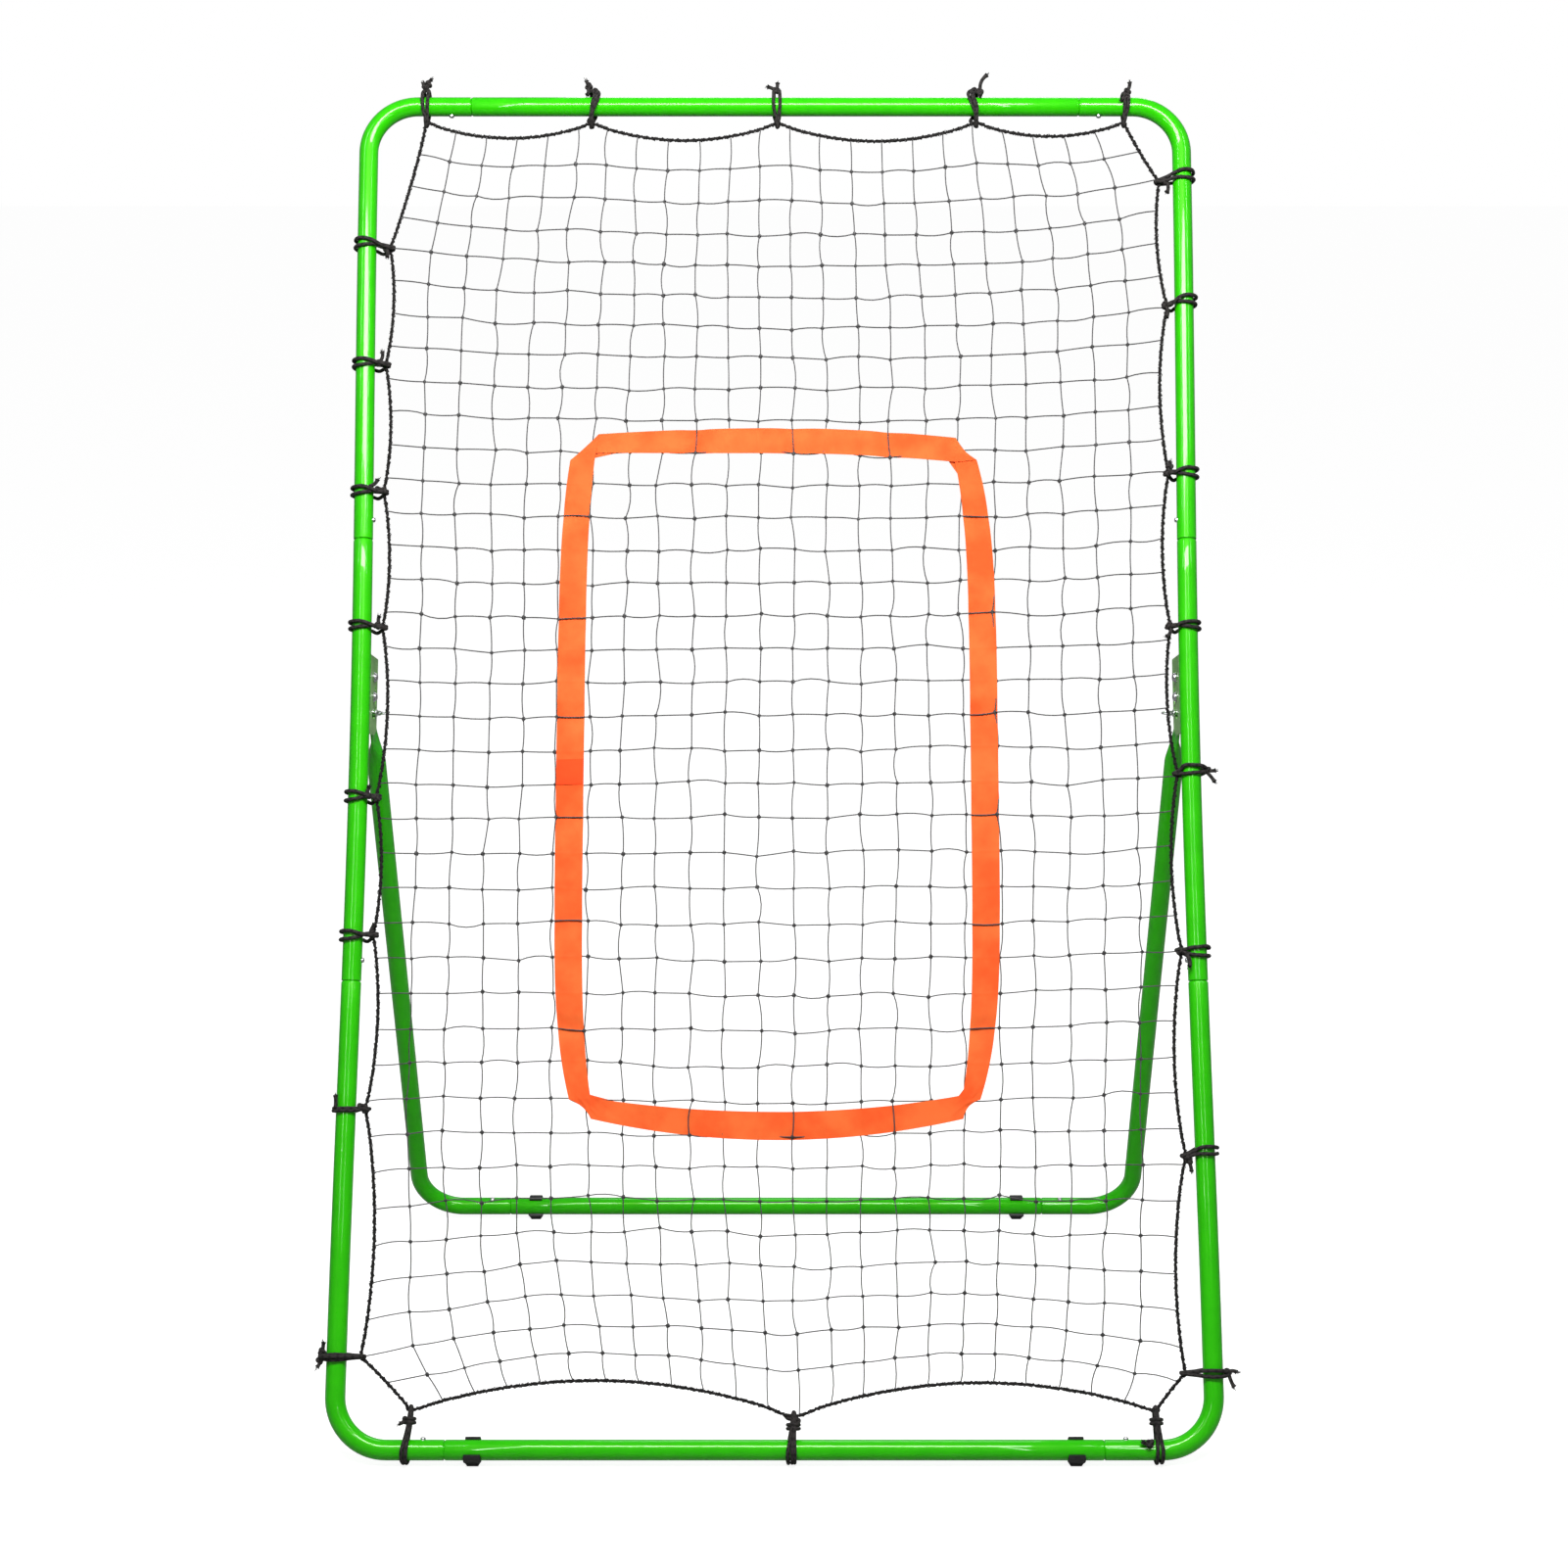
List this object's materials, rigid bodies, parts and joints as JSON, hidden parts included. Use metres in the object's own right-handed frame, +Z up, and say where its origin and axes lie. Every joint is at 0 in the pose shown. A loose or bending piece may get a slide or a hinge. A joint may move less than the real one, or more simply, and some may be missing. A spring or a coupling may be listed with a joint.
{
  "type": "pitch back rebounder",
  "caption": "Leaning steel tube frame with a laced square-mesh net and an orange target, held up by a folding rear leg.",
  "frame": {"origin": "middle of the bounding box, on the floor that the four foot pads stand on", "axes": "+Z up, +Y from the thrower's side towards the rear leg, +X to the right as the thrower sees it"},
  "size_m": [1.0763, 0.732, 1.566],
  "materials": {
    "green_tube": "glossy lime green powder coat on steel tube",
    "bracket_paint": "glossy lime green powder coat on pressed steel",
    "hardware": "bright zinc plated steel",
    "foot_plastic": "black moulded plastic clip",
    "net_cord": "black twisted polyethylene string and braided elastic cord",
    "target_tape": "woven orange polyester tape"
  },
  "bodies": {
    "front_frame": {"top_bar": "green_tube", "bottom_bar": "green_tube", "corner_tube_top_left": "green_tube", "corner_tube_bottom_left": "green_tube", "side_tube_left": "green_tube", "bracket_left": "bracket_paint", "pivot_bolt_left": "hardware", "pivot_nut_left": "hardware", "bracket_bolt_left": "hardware", "bracket_nut_left": "hardware", "bracket_spacer_left": "hardware", "foot_front_left": "foot_plastic", "corner_tube_top_right": "green_tube", "corner_tube_bottom_right": "green_tube", "side_tube_right": "green_tube", "bracket_right": "bracket_paint", "pivot_bolt_right": "hardware", "pivot_nut_right": "hardware", "bracket_bolt_right": "hardware", "bracket_nut_right": "hardware", "bracket_spacer_right": "hardware", "foot_front_right": "foot_plastic", "net": "net_cord", "net_border_and_ties": "net_cord", "target_tape": "target_tape"},
    "rear_leg": {"rear_bar": "green_tube", "rear_leg_left": "green_tube", "foot_rear_left": "foot_plastic", "rear_leg_right": "green_tube", "foot_rear_right": "foot_plastic"},
    "lock_pin_left": {"lock_pin_left": "hardware", "pull_ring_left": "hardware"},
    "lock_pin_right": {"lock_pin_right": "hardware", "pull_ring_right": "hardware"},
    "snap_button_top_left": {"snap_button_top_left": "hardware"},
    "snap_button_top_right": {"snap_button_top_right": "hardware"},
    "snap_button_bottom_left": {"snap_button_bottom_left": "hardware"},
    "snap_button_bottom_right": {"snap_button_bottom_right": "hardware"},
    "snap_button_upper_left": {"snap_button_upper_left": "hardware"},
    "snap_button_upper_right": {"snap_button_upper_right": "hardware"},
    "snap_button_lower_left": {"snap_button_lower_left": "hardware"},
    "snap_button_lower_right": {"snap_button_lower_right": "hardware"},
    "snap_button_rear_left": {"snap_button_rear_left": "hardware"},
    "snap_button_rear_right": {"snap_button_rear_right": "hardware"}
  },
  "joints": [
    {"name": "rear_leg_fold", "type": "hinge", "parent": "front_frame", "child": "rear_leg", "pos_m": [0, 0.06749, 0.83494], "axis": [1, 0, 0], "range_deg": [-43.3, 14.5]},
    {"name": "lock_pin_left_pull", "type": "slide", "parent": "rear_leg", "child": "lock_pin_left", "axis": [1, 0, 0], "range_m": [0, 0.022]},
    {"name": "lock_pin_right_pull", "type": "slide", "parent": "rear_leg", "child": "lock_pin_right", "axis": [-1, 0, 0], "range_m": [0, 0.022]},
    {"name": "button_top_left_press", "type": "slide", "parent": "front_frame", "child": "snap_button_top_left", "axis": [0, 0.4147, 0.91], "range_m": [0, 0.0042], "stiffness_N_per_m": 800},
    {"name": "button_top_right_press", "type": "slide", "parent": "front_frame", "child": "snap_button_top_right", "axis": [0, 0.4147, 0.91], "range_m": [0, 0.0042], "stiffness_N_per_m": 800},
    {"name": "button_bottom_left_press", "type": "slide", "parent": "front_frame", "child": "snap_button_bottom_left", "axis": [0, -0.4147, -0.91], "range_m": [0, 0.0042], "stiffness_N_per_m": 800},
    {"name": "button_bottom_right_press", "type": "slide", "parent": "front_frame", "child": "snap_button_bottom_right", "axis": [0, -0.4147, -0.91], "range_m": [0, 0.0042], "stiffness_N_per_m": 800},
    {"name": "button_upper_left_press", "type": "slide", "parent": "front_frame", "child": "snap_button_upper_left", "axis": [-1, 0, 0], "range_m": [0, 0.0042], "stiffness_N_per_m": 800},
    {"name": "button_upper_right_press", "type": "slide", "parent": "front_frame", "child": "snap_button_upper_right", "axis": [1, 0, 0], "range_m": [0, 0.0042], "stiffness_N_per_m": 800},
    {"name": "button_lower_left_press", "type": "slide", "parent": "front_frame", "child": "snap_button_lower_left", "axis": [-1, 0, 0], "range_m": [0, 0.0042], "stiffness_N_per_m": 800},
    {"name": "button_lower_right_press", "type": "slide", "parent": "front_frame", "child": "snap_button_lower_right", "axis": [1, 0, 0], "range_m": [0, 0.0042], "stiffness_N_per_m": 800},
    {"name": "button_rear_left_press", "type": "slide", "parent": "rear_leg", "child": "snap_button_rear_left", "axis": [0, 0.3223, -0.9466], "range_m": [0, 0.0042], "stiffness_N_per_m": 800},
    {"name": "button_rear_right_press", "type": "slide", "parent": "rear_leg", "child": "snap_button_rear_right", "axis": [0, 0.3223, -0.9466], "range_m": [0, 0.0042], "stiffness_N_per_m": 800}
  ]
}
